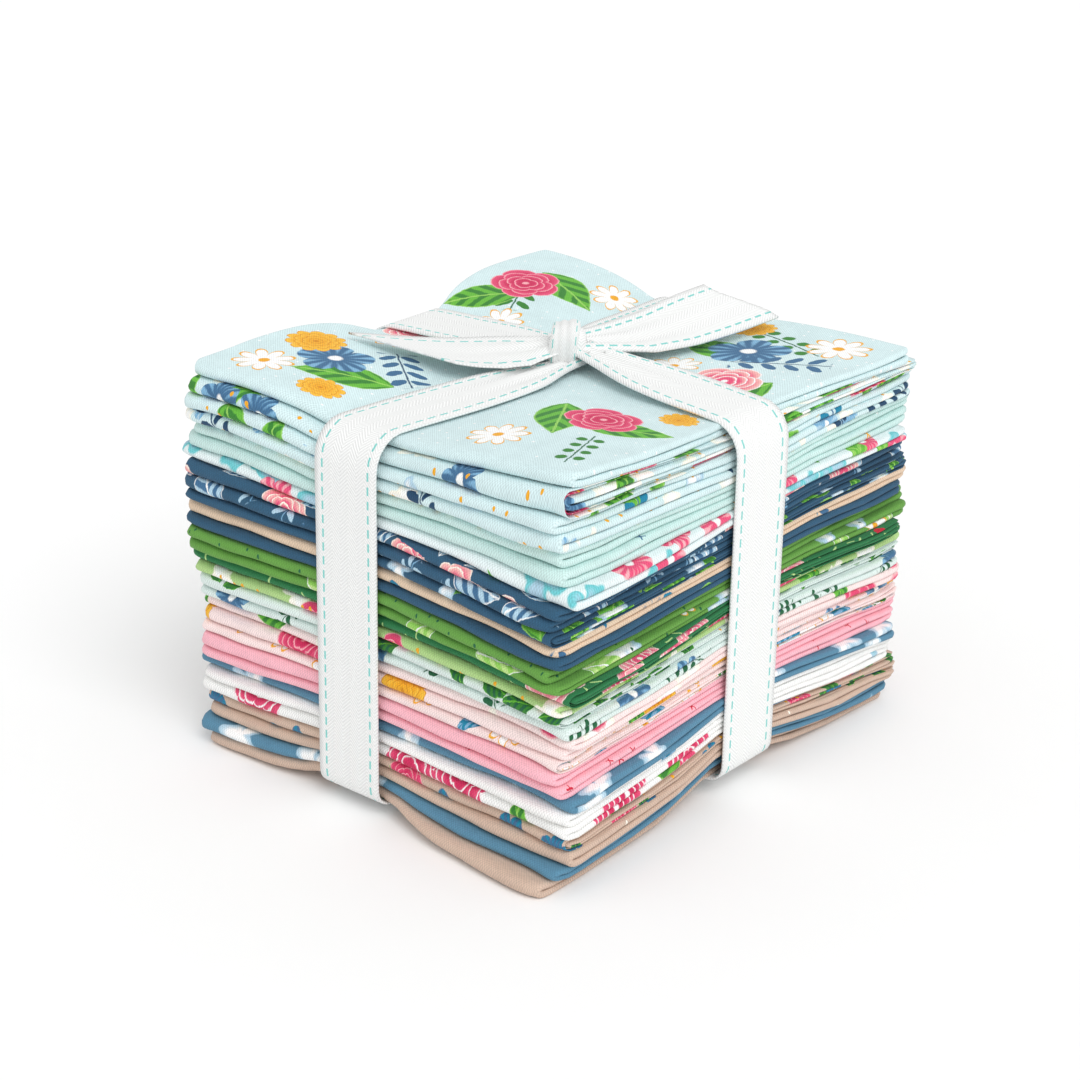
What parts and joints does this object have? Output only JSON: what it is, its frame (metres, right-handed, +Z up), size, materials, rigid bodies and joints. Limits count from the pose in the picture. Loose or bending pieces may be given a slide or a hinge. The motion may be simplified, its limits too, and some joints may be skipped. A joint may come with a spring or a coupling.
{
  "type": "fat quarter bundle",
  "caption": "Stack of folded printed cotton fat quarters, lips to one side, tied both ways with a flat white tape knotted on top with short free ends.",
  "frame": {"origin": "middle of the underside of the bundle's box, on the surface it rests on", "axes": "+Z up, X along the face of rounded fold lips, +Y from the lips to the tucked edges"},
  "size_m": [0.1434, 0.1632, 0.121],
  "materials": {
    "cotton_aqua": "matt woven print",
    "cotton_mint": "matt woven print",
    "cotton_mist": "matt woven print",
    "cotton_navy": "matt woven print",
    "cotton_sand": "matt woven print",
    "cotton_green": "matt woven print",
    "cotton_forest": "matt woven print",
    "cotton_pear": "matt woven print",
    "cotton_frost": "matt woven print",
    "cotton_blush": "matt woven print",
    "cotton_coral": "matt woven print",
    "cotton_dusk": "matt woven print",
    "cotton_white": "matt woven print",
    "cotton_tan": "matt woven print",
    "tape": "matt herringbone weave"
  },
  "bodies": {
    "root": {"quarter_01_aqua_bouquet": "cotton_aqua", "quarter_02_aqua_posy": "cotton_aqua", "quarter_03_aqua_leaf": "cotton_aqua", "quarter_04_aqua_spray": "cotton_aqua", "quarter_05_mint_plain": "cotton_mint", "quarter_06_mint_cross": "cotton_mint", "quarter_07_mist_blossom": "cotton_mist", "quarter_08_navy_rose": "cotton_navy", "quarter_09_navy_fern": "cotton_navy", "quarter_10_navy_garden": "cotton_navy", "quarter_11_sand_teal": "cotton_sand", "quarter_12_navy_plain": "cotton_navy", "quarter_13_leaf_green": "cotton_green", "quarter_14_leaf_posy": "cotton_green", "quarter_15_forest_rose": "cotton_forest", "quarter_16_pear_posy": "cotton_pear", "quarter_17_frost_leaf": "cotton_frost", "quarter_18_frost_fern": "cotton_frost", "quarter_19_blush_peony": "cotton_blush", "quarter_20_blush_garden": "cotton_blush", "quarter_21_petal_outline": "cotton_blush", "quarter_22_coral_plain": "cotton_coral", "quarter_23_coral_cross": "cotton_coral", "quarter_24_dusk_patch": "cotton_dusk", "quarter_25_white_plain": "cotton_white", "quarter_26_white_peony": "cotton_white", "quarter_27_tan_garden": "cotton_tan", "quarter_28_tan_plain": "cotton_tan", "quarter_29_dusk_cloud": "cotton_dusk", "quarter_30_tan_base": "cotton_tan", "ribbon": "tape"}
  },
  "joints": []
}
